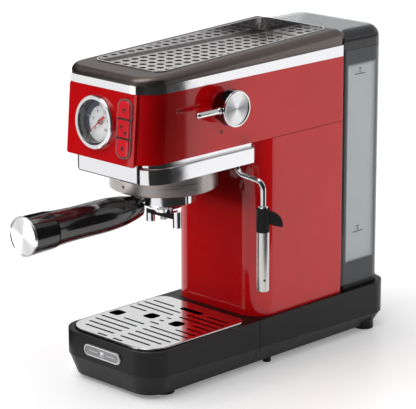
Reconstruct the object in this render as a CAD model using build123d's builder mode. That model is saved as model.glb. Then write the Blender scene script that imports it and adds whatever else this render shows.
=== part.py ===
"""Slim espresso machine: an L-shaped body with a drip tray, a portafilter and a rear water tank.

Units are millimetres. +X is the machine's right, +Y its back and +Z up, and the feet stand on Z = 0.
Sizes below are given from the lower edge of the front fascia (Y = 0) and from the middle of the body
(X = 0). The helper planes move every sketch by DATUM_X and DATUM_Y, so that the origin of the finished
part is the middle of its outline on the ground.
"""

from build123d import *
import math
import os

os.makedirs("parts", exist_ok=True)

# Datum
DATUM_X = -15.6
DATUM_Y = -137.5

# Base and drip tray
BASE_HALF = 70.5
BASE_BACK = 377.0
BASE_FRONT_R = 27.0
BASE_BACK_R = 24.0
RIM_Z = 54.0
FLOOR_Z = 5.0
CREASE_Z = 27.0
CREASE_SLOPE = 1.43
CREASE_STEP = 0.4
BASE_TUCK = 7.5
SEAM_Y = 163.0
FOOT_X = 57.0
FOOT_Y = 348.0
FOOT_R = 11.0
SCREWS_ACROSS = 80.0
SCREWS_ALONG = 170.0

# Column and head
BODY_HALF = 66.0
BODY_R = 26.0
BODY_BACK = 299.0
BODY_WALL = 1.6
COLUMN_FRONT = 163.4
COLUMN_TOP = 250.0
HEAD_FRONT = 1.5
HEAD_Z = 250.5
HEAD_TOP = 322.0
FASCIA_HALF = 50.5
FASCIA_Z = 248.0
FASCIA_TOP = 321.8
FASCIA_SETBACK = 6.2
FASCIA_THICK = 3.0
FASCIA_LEAN = math.degrees(math.atan2(FASCIA_SETBACK, FASCIA_TOP - FASCIA_Z))
FASCIA_TALL = math.hypot(FASCIA_SETBACK, FASCIA_TOP - FASCIA_Z)

# Band, cap and cup warmer
BAND_FRONT = 6.4
BAND_TOP = 330.2
BAND_RISE = 0.75
BAND_WALL = 5.0
CAP_HALF = 64.6
CAP_FRONT = 7.6
CAP_TOP = 338.4
CAP_RISE = 2.55
CAP_SHOULDER = 7.4
WARMER_HALF = 50.0
WARMER_FRONT = 37.0
WARMER_BACK = 291.0
WARMER_R = 12.0
WARMER_Z = 336.4
PLATE_THICK = 1.0
PLATE_HALF = 41.0
PLATE_FRONT = 43.0
PLATE_BACK = 285.0
RAIL_WALL = 1.4
RAIL_PROUD = 0.9

# Group
GROUP_Y = 89.6
HOUSING_HALF = 63.8
HOUSING_FRONT = 12.6
HOUSING_Z = 227.8
HOUSING_TOP = 244.4
HOUSING_WALL = 2.0
RING_R = 57.4
RING_Z = 205.8
COLLAR_R = 47.0
COLLAR_BORE = 39.0
FLANGE_BORE = 35.2
FLANGE_Z = 208.6
BOWL_R = 34.4
BOWL_Z = 189.0
BOWL_TOP = 217.6
LUG_R = 38.4
LUG_Z = 212.2

# Steam knob and wand
KNOB_Y = 111.0
KNOB_Z = 297.0
KNOB_R = 19.1
KNOB_FACE = 88.0
KNOB_NECK_R = 15.5
LEVER_X = 81.0
LEVER_R = 3.1
LEVER_TIP = 59.0
WAND_ENTRY = (52.0, 147.0)
WAND_DROP = (86.0, 151.0)
WAND_R = 2.9
GRIP_TOP = 184.0
GRIP_Z = 159.0
GRIP_R = 7.2
SLEEVE_R = 6.7
SLEEVE_Z = 94.0

# Handle
HANDLE_Z = 188.5
HANDLE_END = -104.5

# Tank
TANK_HALF = 64.0
TANK_FRONT = 300.6
TANK_BACK = 370.0
TANK_R = 19.0
TANK_Z = 60.0
TANK_TOP = 326.0
TANK_WALL = 2.4
LID_TOP = 348.6
LID_R = 15.0
LID_WALL = 2.6


def level(z):
    """Plane at height z, drawn in X and Y."""
    return Plane(origin=(DATUM_X, DATUM_Y, z))


def facing(y):
    """Upright plane at depth y that looks forward, drawn in X and Z."""
    return Plane(origin=(DATUM_X, DATUM_Y + y, 0), x_dir=(1, 0, 0), z_dir=(0, -1, 0))


def beside(x):
    """Upright plane at side position x that looks right, drawn in Y and Z."""
    return Plane(origin=(DATUM_X + x, DATUM_Y, 0), x_dir=(0, 1, 0), z_dir=(1, 0, 0))


def tilted(y, z, degrees):
    """Plane through (y, z) whose height grows towards the back by the given angle."""
    lean = math.radians(degrees)
    return Plane(
        origin=(DATUM_X, DATUM_Y + y, z),
        x_dir=(1, 0, 0),
        z_dir=(0, -math.sin(lean), math.cos(lean)),
    )


def on_fascia(out, x=0.0, up=0.0):
    """Plane parallel to the fascia, out from its face, centred at x and up along the face."""
    lean = math.radians(FASCIA_LEAN)
    normal = Vector(0, -math.cos(lean), math.sin(lean))
    along = Vector(0, math.sin(lean), math.cos(lean))
    corner = Vector(DATUM_X + x, DATUM_Y, FASCIA_Z)
    return Plane(origin=corner + along * up + normal * out, x_dir=(1, 0, 0), z_dir=normal)


def plan(half, front_y, back_y, front_r, back_r):
    """Outline with straight sides and its own front and back corner radii."""
    with Locations((0, (front_y + back_y) / 2)):
        Rectangle(2 * half, back_y - front_y)
    fillet(vertices().group_by(Axis.Y)[0], front_r)
    fillet(vertices().group_by(Axis.Y)[-1], back_r)


def save(piece, name):
    """Names a finished sub-part and writes its file."""
    piece.part.label = name
    export_step(piece.part, f"parts/{name}.step")


BAND_PLANE = tilted(BAND_FRONT, BAND_TOP, BAND_RISE)
CAP_PLANE = tilted(CAP_FRONT, CAP_TOP, CAP_RISE)
CREASE_PLANE = tilted(0, CREASE_Z, -CREASE_SLOPE)

# ---------------------------------------------------------------- base and drip tray


def base_block():
    """Whole outer form of the base: upright above the crease, tucked in below it."""
    with BuildSketch(level(CREASE_Z - 12)) as upright:
        plan(BASE_HALF, 0, BASE_BACK, BASE_FRONT_R, BASE_BACK_R)
    extrude(upright.sketch, amount=RIM_Z - CREASE_Z + 12)
    split(bisect_by=CREASE_PLANE, keep=Keep.TOP)
    with BuildSketch(CREASE_PLANE) as crease:
        plan(
            BASE_HALF - CREASE_STEP,
            CREASE_STEP,
            BASE_BACK - CREASE_STEP,
            BASE_FRONT_R,
            BASE_BACK_R,
        )
    with BuildSketch(level(FLOOR_Z)) as underside:
        plan(
            BASE_HALF - BASE_TUCK,
            BASE_TUCK,
            BASE_BACK - BASE_TUCK,
            BASE_FRONT_R - 4,
            BASE_BACK_R - 4,
        )
    loft([crease.sketch, underside.sketch])


def tray_side(gap):
    """Side view of everything in front of the seam, which leans forward at its foot."""
    with BuildLine() as outline:
        Polyline(
            (-20, -5),
            (SEAM_Y - 12 + gap, -5),
            (SEAM_Y + gap, 21),
            (SEAM_Y + gap, 70),
            (-20, 70),
            close=True,
        )
    make_face(outline.edges())


with BuildPart() as drip_tray:
    base_block()
    with BuildSketch(beside(-BASE_HALF - 10)):
        tray_side(0)
    extrude(amount=2 * BASE_HALF + 20, mode=Mode.INTERSECT)
    with BuildSketch(level(14)):
        plan(BASE_HALF - 9.5, 9.5, 147, BASE_FRONT_R - 6, 10)
    extrude(amount=RIM_Z, mode=Mode.SUBTRACT)
    with BuildSketch(level(RIM_Z - 4)):
        plan(BASE_HALF - 4.8, 4.9, 150.4, BASE_FRONT_R - 0.2, 14)
    extrude(amount=10, mode=Mode.SUBTRACT)
save(drip_tray, "drip_tray")

GRID_TOP = 56.2
GRID_SKIN = 1.6
GRID_HALF = 65.4
GRID_FRONT = 5.2
GRID_BACK = 150.0
GRID_FRONT_R = 27.0
GRID_BACK_R = 14.0
SLOT_FIRST_Y = 10.4
SLOT_PITCH = 10.7
SLOT_WIDE = 3.0
SLOT_GAP = 4.6
SLOT_LAST = 61.5
HOLE_SIDE = 15.4
HOLES = [(-54.0, 71.0), (-19.3, 88.8), (19.3, 88.8)]
FINGER_Y = 130.0


def slot(row, low_x, high_x):
    """One drain slot across the grid, in the given row from the front."""
    with Locations(((low_x + high_x) / 2, SLOT_FIRST_Y + row * SLOT_PITCH)):
        SlotOverall(high_x - low_x, SLOT_WIDE)


def drain_slots():
    """Rows of slots in two columns, cut short by the round corners and the three holes."""
    for row, end_x in enumerate([19, 50, 55.5, 58, 60.5, SLOT_LAST]):
        slot(row, SLOT_GAP, end_x)
        slot(row, -end_x if row < 5 else -36, -SLOT_GAP)
    for row, middle_x, inner_x in ((6, 7, 32), (7, 3.4, 38), (8, 3.4, 36)):
        slot(row, -middle_x, middle_x)
        slot(row, inner_x, SLOT_LAST)
    slot(8, -SLOT_LAST, -35)
    for side in (-1, 1):
        for row in (9, 10):
            ends = sorted((side * SLOT_GAP, side * SLOT_LAST))
            slot(row, ends[0], ends[1])
        ends = sorted((side * 25, side * 57.5))
        slot(11, ends[0], ends[1])


with BuildPart() as drip_grid:
    with BuildSketch(level(GRID_TOP - GRID_SKIN)):
        plan(GRID_HALF, GRID_FRONT, GRID_BACK, GRID_FRONT_R, GRID_BACK_R)
    extrude(amount=GRID_SKIN)
    with BuildSketch(level(RIM_Z - 4)):
        plan(GRID_HALF - 1, GRID_FRONT + 1, GRID_BACK - 1, GRID_FRONT_R - 1, GRID_BACK_R - 1)
        offset(amount=-1.4, mode=Mode.SUBTRACT)
    extrude(amount=GRID_TOP - GRID_SKIN - RIM_Z + 4)
    fillet(drip_grid.faces().sort_by(Axis.Z)[-1].outer_wire().edges(), 1.2)
    with BuildSketch(level(GRID_TOP - GRID_SKIN)):
        drain_slots()
        with Locations(*HOLES):
            RectangleRounded(HOLE_SIDE, HOLE_SIDE, 4)
        with Locations((0, FINGER_Y)):
            SlotOverall(33, 8)
    extrude(amount=GRID_SKIN, mode=Mode.SUBTRACT)
save(drip_grid, "drip_grid")

BADGE_Z = 40.0

with BuildPart() as badge:
    with BuildSketch(facing(0)):
        with Locations((0, BADGE_Z)):
            SlotOverall(56, 13.5)
    extrude(amount=1.4)
    fillet(badge.faces().sort_by(Axis.Y)[0].edges(), 0.8)
save(badge, "badge")

with BuildPart() as tray_feet:
    with BuildSketch(level(0)):
        with Locations((-48, 42), (48, 42)):
            Circle(11)
    extrude(amount=FLOOR_Z)
save(tray_feet, "tray_feet")

with BuildPart() as rear_base:
    base_block()
    with BuildSketch(beside(-BASE_HALF - 10)):
        tray_side(0.7)
    extrude(amount=2 * BASE_HALF + 20, mode=Mode.SUBTRACT)
    with BuildSketch(level(FLOOR_Z)):
        with Locations((-FOOT_X, FOOT_Y), (FOOT_X, FOOT_Y)):
            Circle(FOOT_R)
    extrude(amount=12)
    with BuildSketch(level(0)):
        plan(BASE_HALF - 11, SEAM_Y + 6, BASE_BACK - 11, 4, 14)
    extrude(amount=RIM_Z - 4, mode=Mode.SUBTRACT)
    with BuildSketch(level(RIM_Z - 5)):
        with Locations((0, 230)):
            Rectangle(70, 60)
        with Locations((0, 335)):
            Circle(9)
    extrude(amount=6, mode=Mode.SUBTRACT)
    with BuildSketch(facing(BASE_BACK + 5)):
        with Locations((-36, 36)):
            Circle(7)
    extrude(amount=-5 - 16, mode=Mode.SUBTRACT)
    with BuildSketch(facing(BASE_BACK - 30)):
        with Locations((-36, 36)):
            Circle(7)
    extrude(amount=-35, mode=Mode.SUBTRACT)
save(rear_base, "rear_base")

with BuildPart() as base_cover:
    with BuildSketch(level(FLOOR_Z + 1)):
        plan(BASE_HALF - 11.3, SEAM_Y + 6.3, BASE_BACK - 11.3, 4, 14)
    extrude(amount=2.5)
    with Locations(base_cover.faces().sort_by(Axis.Z)[0].center_location):
        with GridLocations(SCREWS_ACROSS, SCREWS_ALONG, 2, 2):
            Hole(2)
save(base_cover, "base_cover")

COVER_MID_Y = (SEAM_Y + BASE_BACK - 5) / 2

with BuildPart() as base_screws:
    with BuildSketch(level(FLOOR_Z - 1)):
        with Locations((0, COVER_MID_Y)):
            with GridLocations(SCREWS_ACROSS, SCREWS_ALONG, 2, 2):
                Circle(3.6)
    extrude(amount=2)
    with BuildSketch(level(FLOOR_Z + 1)):
        with Locations((0, COVER_MID_Y)):
            with GridLocations(SCREWS_ACROSS, SCREWS_ALONG, 2, 2):
                Circle(1.9)
    extrude(amount=12)
save(base_screws, "base_screws")


with BuildPart() as base_feet:
    with BuildSketch(level(0)):
        with Locations((-FOOT_X, FOOT_Y), (FOOT_X, FOOT_Y)):
            Circle(FOOT_R)
        with Locations((-59, 186), (59, 186)):
            Circle(4.5)
    extrude(amount=FLOOR_Z)
save(base_feet, "base_feet")

# ---------------------------------------------------------------- column and head

with BuildPart() as column_shell:
    with BuildSketch(level(RIM_Z)):
        plan(BODY_HALF, COLUMN_FRONT, BODY_BACK, BODY_R, 3)
        offset(amount=-BODY_WALL, mode=Mode.SUBTRACT)
    extrude(amount=COLUMN_TOP - RIM_Z)
save(column_shell, "column_shell")

with BuildPart() as head_shell:
    with BuildSketch(level(HEAD_Z)):
        plan(BODY_HALF, HEAD_FRONT, BODY_BACK, BODY_R, 3)
    extrude(amount=HEAD_TOP - HEAD_Z)
    with BuildSketch(level(HEAD_Z)):
        plan(BODY_HALF, HEAD_FRONT, BODY_BACK + 20, BODY_R, 3)
    extrude(amount=FASCIA_TALL, dir=on_fascia(0).y_dir, mode=Mode.INTERSECT)
    split(bisect_by=on_fascia(-FASCIA_THICK), keep=Keep.BOTTOM)
    with BuildSketch(level(HEAD_Z)):
        plan(BODY_HALF - BODY_WALL, 14, BODY_BACK - BODY_WALL, BODY_R - 8, 2)
    extrude(amount=HEAD_TOP - HEAD_Z, mode=Mode.SUBTRACT)
    with BuildSketch(facing(20)):
        with Locations((0, (HEAD_Z + HEAD_TOP) / 2)):
            Rectangle(2 * FASCIA_HALF - 8, HEAD_TOP - HEAD_Z - 10)
    extrude(amount=30, mode=Mode.SUBTRACT)
    with BuildSketch(beside(40)):
        with Locations((KNOB_Y, KNOB_Z)):
            Circle(5)
    extrude(amount=40, mode=Mode.SUBTRACT)
save(head_shell, "head_shell")

GAUGE_X = -7.3
GAUGE_UP = 38.3
GAUGE_R = 27.7
KEYS_X = 35.0
KEYS_UP = 37.9
KEYS_WIDE = 21.4
KEYS_TALL = 60.8
KEYS_R = 8.6

with BuildPart() as front_fascia:
    with BuildSketch(on_fascia(-FASCIA_THICK, 0, FASCIA_TALL / 2)):
        RectangleRounded(2 * FASCIA_HALF, FASCIA_TALL, 2.5)
    extrude(amount=FASCIA_THICK)
    chamfer(front_fascia.faces().filter_by(on_fascia(0)).sort_by(Axis.Y)[0].edges(), 0.5)
    with BuildSketch(on_fascia(-FASCIA_THICK, GAUGE_X, GAUGE_UP)):
        Circle(GAUGE_R - 2.5)
    extrude(amount=FASCIA_THICK, mode=Mode.SUBTRACT)
    with BuildSketch(on_fascia(-FASCIA_THICK, KEYS_X, KEYS_UP)):
        RectangleRounded(KEYS_WIDE - 1, KEYS_TALL - 1, KEYS_R - 0.5)
    extrude(amount=FASCIA_THICK, mode=Mode.SUBTRACT)
save(front_fascia, "front_fascia")

with BuildPart() as chrome_band:
    with BuildSketch(level(HEAD_TOP)):
        plan(BODY_HALF, BAND_FRONT, BODY_BACK, BODY_R, 3)
        offset(amount=-BAND_WALL, mode=Mode.SUBTRACT)
    extrude(amount=20)
    split(bisect_by=BAND_PLANE, keep=Keep.BOTTOM)
save(chrome_band, "chrome_band")

with BuildPart() as top_cap:
    with BuildSketch(level(BAND_TOP - 3)):
        plan(CAP_HALF, CAP_FRONT, BODY_BACK - 0.6, BODY_R, 3)
    extrude(amount=40)
    split(bisect_by=BAND_PLANE, keep=Keep.TOP)
    split(bisect_by=CAP_PLANE, keep=Keep.BOTTOM)
    fillet(top_cap.faces().sort_by(Axis.Z)[-1].edges(), CAP_SHOULDER)
    with BuildSketch(level(WARMER_Z)):
        plan(WARMER_HALF, WARMER_FRONT, WARMER_BACK, WARMER_R, WARMER_R)
    extrude(amount=30, mode=Mode.SUBTRACT)
    with BuildSketch(level(WARMER_Z - PLATE_THICK)):
        plan(PLATE_HALF, PLATE_FRONT, PLATE_BACK, 8, 8)
    extrude(amount=2 * PLATE_THICK, mode=Mode.SUBTRACT)
    with BuildSketch(level(BAND_TOP - 5)):
        plan(PLATE_HALF - 3, PLATE_FRONT + 3, PLATE_BACK - 3, 6, 6)
    extrude(amount=30, mode=Mode.SUBTRACT)
save(top_cap, "top_cap")

PLATE_PITCH = 12.8
PLATE_HOLE_R = 4.2

with BuildPart() as cup_warmer_plate:
    with BuildSketch(level(WARMER_Z - PLATE_THICK)):
        plan(PLATE_HALF, PLATE_FRONT, PLATE_BACK, 8, 8)
    extrude(amount=PLATE_THICK)
    with BuildSketch(level(WARMER_Z - PLATE_THICK)):
        with Locations((0, (PLATE_FRONT + PLATE_BACK) / 2)):
            with GridLocations(PLATE_PITCH, PLATE_PITCH, 6, 18):
                Circle(PLATE_HOLE_R)
    extrude(amount=PLATE_THICK, mode=Mode.SUBTRACT)
save(cup_warmer_plate, "cup_warmer_plate")

with BuildPart() as cup_rail:
    with BuildSketch(level(WARMER_Z)):
        plan(WARMER_HALF, WARMER_FRONT, WARMER_BACK, WARMER_R, WARMER_R)
        offset(amount=-RAIL_WALL, mode=Mode.SUBTRACT)
    extrude(amount=30)
    split(bisect_by=CAP_PLANE.offset(RAIL_PROUD), keep=Keep.BOTTOM)
save(cup_rail, "cup_rail")

# ---------------------------------------------------------------- pressure gauge

with BuildPart() as gauge_bezel:
    with BuildSketch(on_fascia(0, GAUGE_X, GAUGE_UP)):
        Circle(GAUGE_R)
        Circle(GAUGE_R - 4.3, mode=Mode.SUBTRACT)
    extrude(amount=5)
    fillet(gauge_bezel.faces().sort_by(Axis.Y)[0].outer_wire().edges(), 2)
save(gauge_bezel, "gauge_bezel")

CASE_R = GAUGE_R - 4.5
DIAL_OUT = -6.0

with BuildPart() as gauge_case:
    with BuildSketch(on_fascia(-20, GAUGE_X, GAUGE_UP)):
        Circle(CASE_R)
    extrude(amount=22.5)
    with BuildSketch(on_fascia(DIAL_OUT - 1, GAUGE_X, GAUGE_UP)):
        Circle(CASE_R - 1.8)
    extrude(amount=30, mode=Mode.SUBTRACT)
save(gauge_case, "gauge_case")

with BuildPart() as gauge_dial:
    with BuildSketch(on_fascia(DIAL_OUT - 1, GAUGE_X, GAUGE_UP)):
        Circle(CASE_R - 1.9)
        Circle(1.1, mode=Mode.SUBTRACT)
    extrude(amount=0.8)
save(gauge_dial, "gauge_dial")

NEEDLE_ANGLE = -135.0

with BuildPart() as gauge_needle:
    with BuildSketch(on_fascia(DIAL_OUT - 1, GAUGE_X, GAUGE_UP)):
        Circle(1.0)
    extrude(amount=3.2)
    with BuildSketch(on_fascia(DIAL_OUT + 0.7, GAUGE_X, GAUGE_UP)):
        Circle(2.6)
        with BuildLine(Plane.XY.rotated((0, 0, NEEDLE_ANGLE))):
            Polyline((-9.5, 1.9), (17.5, 0.35), (17.5, -0.35), (-9.5, -1.9), close=True)
        make_face()
    extrude(amount=0.8)
save(gauge_needle, "gauge_needle")

with BuildPart() as gauge_lens:
    with BuildSketch(on_fascia(2.6, GAUGE_X, GAUGE_UP)):
        Circle(CASE_R)
    extrude(amount=1.2)
save(gauge_lens, "gauge_lens")

# ---------------------------------------------------------------- buttons

KEY_GAP = 0.35
KEY_FRAME = 1.5
KEY_BAR = 1.3
KEY_BOX_WIDE = KEYS_WIDE - 2 * KEY_FRAME
KEY_BOX_TALL = (KEYS_TALL - 2 * KEY_FRAME - 2 * KEY_BAR) / 3
KEY_PITCH = KEY_BOX_TALL + KEY_BAR


def key_window(row):
    """Window of one button in the frame; row -1 is the lowest, 1 the highest."""
    with Locations((0, row * KEY_PITCH)):
        Rectangle(KEY_BOX_WIDE, KEY_BOX_TALL)
    if row == 1:
        fillet(vertices().group_by(Axis.Y)[-1], KEYS_R - KEY_FRAME)
    if row == -1:
        fillet(vertices().group_by(Axis.Y)[0], KEYS_R - KEY_FRAME)


with BuildPart() as button_frame:
    with BuildSketch(on_fascia(0, KEYS_X, KEYS_UP)):
        RectangleRounded(KEYS_WIDE, KEYS_TALL, KEYS_R)
    extrude(amount=1.3)
    with BuildSketch(on_fascia(-4, KEYS_X, KEYS_UP)):
        RectangleRounded(KEYS_WIDE - 1.2, KEYS_TALL - 1.2, KEYS_R - 0.6)
    extrude(amount=4)
    for key_row in (-1, 0, 1):
        with BuildSketch(on_fascia(-6, KEYS_X, KEYS_UP)):
            key_window(key_row)
        extrude(amount=12, mode=Mode.SUBTRACT)
save(button_frame, "button_frame")


def button(row, name):
    """One push button: a cap in its window and a stem that reaches its switch."""
    with BuildPart() as cap:
        with BuildSketch(on_fascia(-4, KEYS_X, KEYS_UP)):
            key_window(row)
            offset(amount=-KEY_GAP, mode=Mode.REPLACE)
        extrude(amount=6.4)
        fillet(cap.faces().sort_by(Axis.Y)[0].edges(), 1.0)
        with BuildSketch(on_fascia(-9, KEYS_X, KEYS_UP + row * KEY_PITCH)):
            Circle(3)
        extrude(amount=5)
    save(cap, name)


button(1, "button_one_cup")
button(0, "button_two_cups")
button(-1, "button_steam")

with BuildPart() as button_board:
    with BuildSketch(on_fascia(-16, KEYS_X, KEYS_UP)):
        Rectangle(22, 62)
    extrude(amount=1.6)
    with BuildSketch(on_fascia(-14.4, KEYS_X, KEYS_UP)):
        with GridLocations(1, KEY_PITCH, 1, 3):
            Rectangle(7, 7)
    extrude(amount=3.2)
save(button_board, "button_board")

# ---------------------------------------------------------------- steam knob

with BuildPart() as steam_knob:
    with BuildSketch(beside(BODY_HALF + 0.5)):
        with Locations((KNOB_Y, KNOB_Z)):
            Circle(KNOB_NECK_R)
    with BuildSketch(beside(KNOB_FACE - 11)):
        with Locations((KNOB_Y, KNOB_Z)):
            Circle(KNOB_R - 1.2)
    loft()
    with BuildSketch(beside(KNOB_FACE - 11)):
        with Locations((KNOB_Y, KNOB_Z)):
            Circle(KNOB_R)
    extrude(amount=11)
    fillet(steam_knob.faces().sort_by(Axis.X)[-1].edges(), 1.2)
    with BuildSketch(beside(KNOB_FACE - 2)):
        with Locations((KNOB_Y, KNOB_Z)):
            Circle(KNOB_R - 2)
    extrude(amount=4, mode=Mode.SUBTRACT)
    with BuildSketch(beside(BODY_HALF)):
        with Locations((KNOB_Y, KNOB_Z)):
            Circle(3)
    extrude(amount=12, mode=Mode.SUBTRACT)
    with BuildSketch(facing(KNOB_Y - 12)):
        with Locations((LEVER_X, KNOB_Z)):
            Circle(LEVER_R)
    extrude(amount=15, mode=Mode.SUBTRACT)
save(steam_knob, "steam_knob")

with BuildPart() as knob_disc:
    with BuildSketch(beside(KNOB_FACE - 2)):
        with Locations((KNOB_Y, KNOB_Z)):
            Circle(KNOB_R - 2)
    extrude(amount=0.9)
save(knob_disc, "knob_disc")

with BuildPart() as knob_shaft:
    with BuildSketch(beside(50.5)):
        with Locations((KNOB_Y, KNOB_Z)):
            Circle(3)
    extrude(amount=BODY_HALF + 12 - 50.5)
save(knob_shaft, "knob_shaft")

with BuildPart() as steam_lever:
    with BuildSketch(facing(KNOB_Y - 12)):
        with Locations((LEVER_X, KNOB_Z)):
            Circle(LEVER_R)
    extrude(amount=KNOB_Y - 12 - LEVER_TIP)
    fillet(steam_lever.faces().sort_by(Axis.Y)[0].edges(), LEVER_R - 0.1)
    with BuildSketch(facing(KNOB_Y - KNOB_R - 0.4)):
        with Locations((LEVER_X, KNOB_Z)):
            Circle(4.3)
    extrude(amount=2.6)
save(steam_lever, "steam_lever")

with BuildPart() as steam_valve:
    with BuildSketch(beside(37.5)):
        with Locations((KNOB_Y, KNOB_Z)):
            Rectangle(26, 26)
    extrude(amount=12.5)
    with BuildSketch(beside(50)):
        with Locations((KNOB_Y, KNOB_Z)):
            Circle(8)
            Circle(3.05, mode=Mode.SUBTRACT)
    extrude(amount=6)
save(steam_valve, "steam_valve")

# ---------------------------------------------------------------- steam wand


def wand_route(top_z, end_z):
    """Line of the steam pipe from its swivel to its lower end."""
    FilletPolyline(
        (WAND_ENTRY[0], WAND_ENTRY[1], top_z),
        (WAND_ENTRY[0], WAND_ENTRY[1], 217.2),
        (WAND_DROP[0], WAND_DROP[1], 212.0),
        (WAND_DROP[0], WAND_DROP[1], end_z),
        radius=9.5,
    )


with BuildPart() as wand_pipe:
    with BuildLine(level(0)):
        wand_route(242, GRIP_Z - 4)
    with BuildSketch(level(242)):
        with Locations(WAND_ENTRY):
            Circle(WAND_R)
    sweep()
    with BuildSketch(level(238)):
        with Locations(WAND_ENTRY):
            Circle(5.4)
    extrude(amount=3)
save(wand_pipe, "wand_pipe")

def wand_ring(low_z, high_z, outer, inner):
    """Turned piece round the lower, upright end of the steam pipe."""
    with BuildSketch(level(low_z)) as ring:
        with Locations(WAND_DROP):
            Circle(outer)
            Circle(inner, mode=Mode.SUBTRACT)
    extrude(ring.sketch, amount=high_z - low_z)


with BuildPart() as wand_collar:
    wand_ring(GRIP_TOP, GRIP_TOP + 3, 4.9, WAND_R)
    fillet(wand_collar.faces().sort_by(Axis.Z)[-1].outer_wire().edges(), 1.2)
save(wand_collar, "wand_collar")

FIN_REACH = 20.5

with BuildPart() as wand_grip:
    wand_ring(GRIP_Z, GRIP_TOP, GRIP_R, WAND_R)
    fin_plane = Plane(
        origin=(DATUM_X + WAND_DROP[0], DATUM_Y + WAND_DROP[1], 0),
        x_dir=(1, 1, 0),
        z_dir=(1, -1, 0),
    )
    with BuildSketch(fin_plane):
        with BuildLine():
            Line((5, GRIP_Z + 9), (5, GRIP_TOP - 3))
            Spline((5, GRIP_TOP - 3), (13, GRIP_TOP - 5), (19, GRIP_Z + 14), (FIN_REACH, GRIP_Z + 5))
            Spline((FIN_REACH, GRIP_Z + 5), (14, GRIP_Z + 6), (5, GRIP_Z + 9))
        make_face()
    extrude(amount=1.8, both=True)
save(wand_grip, "wand_grip")

with BuildPart() as wand_nozzle:
    wand_ring(SLEEVE_Z + 12, GRIP_Z, 3.2, 1.0)
    wand_ring(GRIP_Z - 22, GRIP_Z - 6, 5.2, 3.0)
    wand_ring(GRIP_Z - 4, GRIP_Z, 3.2, WAND_R)
    with BuildSketch(level(GRIP_Z - 4)):
        with Locations(WAND_DROP):
            Circle(WAND_R)
    extrude(amount=5, mode=Mode.SUBTRACT)
save(wand_nozzle, "wand_nozzle")

with BuildPart() as frother_sleeve:
    wand_ring(SLEEVE_Z, GRIP_Z - 0.4, SLEEVE_R, 5.25)
    fillet(frother_sleeve.faces().sort_by(Axis.Z)[0].outer_wire().edges(), 0.8)
    sleeve_side = Plane(
        origin=(DATUM_X + WAND_DROP[0], DATUM_Y + WAND_DROP[1], SLEEVE_Z + 13),
        x_dir=(0, 0, 1),
        z_dir=(1, -0.6, 0),
    )
    with BuildSketch(sleeve_side):
        Circle(1.3)
    extrude(amount=10, mode=Mode.SUBTRACT)
save(frother_sleeve, "frother_sleeve")

# ---------------------------------------------------------------- group

with BuildPart() as group_housing:
    with BuildSketch(level(HOUSING_Z)):
        plan(HOUSING_HALF, HOUSING_FRONT, COLUMN_FRONT - 1, BODY_R, 3)
    extrude(amount=HOUSING_TOP - HOUSING_Z)
    fillet(group_housing.faces().sort_by(Axis.Z)[-1].edges(), 1.5)
    with BuildSketch(level(HOUSING_TOP)):
        plan(HOUSING_HALF - 4, HOUSING_FRONT + 3, COLUMN_FRONT - 1, BODY_R - 4, 3)
    extrude(amount=HEAD_Z - HOUSING_TOP)
    with BuildSketch(level(HOUSING_Z + HOUSING_WALL)):
        plan(HOUSING_HALF - 6, HOUSING_FRONT + 5, COLUMN_FRONT - 3, BODY_R - 6, 2)
    extrude(amount=40, mode=Mode.SUBTRACT)
    with BuildSketch(level(HOUSING_Z - 1)):
        with Locations((0, GROUP_Y)):
            Circle(COLLAR_R - 5)
    extrude(amount=10, mode=Mode.SUBTRACT)
    with BuildSketch(level(HOUSING_Z - 1)):
        with Locations(WAND_ENTRY):
            Circle(6.5)
    extrude(amount=11)
    with BuildSketch(level(HOUSING_Z - 1)):
        with Locations(WAND_ENTRY):
            Circle(WAND_R + 0.06)
    extrude(amount=11, mode=Mode.SUBTRACT)
save(group_housing, "group_housing")

with BuildPart() as housing_front_plate:
    with BuildSketch(facing(HOUSING_FRONT)):
        with Locations((0, (HOUSING_Z + FASCIA_Z) / 2)):
            Rectangle(2 * FASCIA_HALF - 11, FASCIA_Z - HOUSING_Z)
    extrude(amount=1.8)
    chamfer(housing_front_plate.faces().sort_by(Axis.Y)[0].edges(), 0.4)
save(housing_front_plate, "housing_front_plate")


def group_turned(points, mode=Mode.ADD):
    """Revolves a closed profile of (radius, height) points round the group's axis."""
    with BuildSketch(facing(GROUP_Y)) as profile:
        with BuildLine():
            Polyline(*points, close=True)
        make_face()
    revolve(profile.sketch, axis=Axis((DATUM_X, DATUM_Y + GROUP_Y, 0), (0, 0, 1)), mode=mode)


with BuildPart() as group_ring:
    group_turned(
        [
            (RING_R, HOUSING_Z),
            (RING_R, RING_Z + 1.2),
            (RING_R - 1.2, RING_Z),
            (COLLAR_BORE, RING_Z),
            (COLLAR_BORE, RING_Z + 2),
            (RING_R - 2, RING_Z + 2),
            (RING_R - 2, HOUSING_Z),
        ]
    )
save(group_ring, "group_ring")

with BuildPart() as group_collar:
    group_turned(
        [
            (COLLAR_R, FLANGE_Z),
            (COLLAR_R, HOUSING_Z),
            (24, HOUSING_Z),
            (24, HEAD_Z + 0.5),
            (2.2, HEAD_Z + 0.5),
            (2.2, 221),
            (26.8, 221),
            (26.8, HOUSING_Z - 4),
            (COLLAR_BORE, HOUSING_Z - 4),
            (COLLAR_BORE, FLANGE_Z + 3.2),
            (FLANGE_BORE, FLANGE_Z + 3.2),
            (FLANGE_BORE, FLANGE_Z),
        ]
    )
    with BuildSketch(level(FLANGE_Z)):
        with Locations((0, GROUP_Y)):
            with PolarLocations(0, 2, -45):
                Rectangle(2 * COLLAR_BORE - 1, 20)
            Circle(FLANGE_BORE - 3, mode=Mode.SUBTRACT)
    extrude(amount=3.2, mode=Mode.SUBTRACT)
save(group_collar, "group_collar")

with BuildPart() as group_gasket:
    group_turned([(27.2, 218.2), (34, 218.2), (34, HOUSING_Z - 4), (27.2, HOUSING_Z - 4)])
save(group_gasket, "group_gasket")

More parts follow.
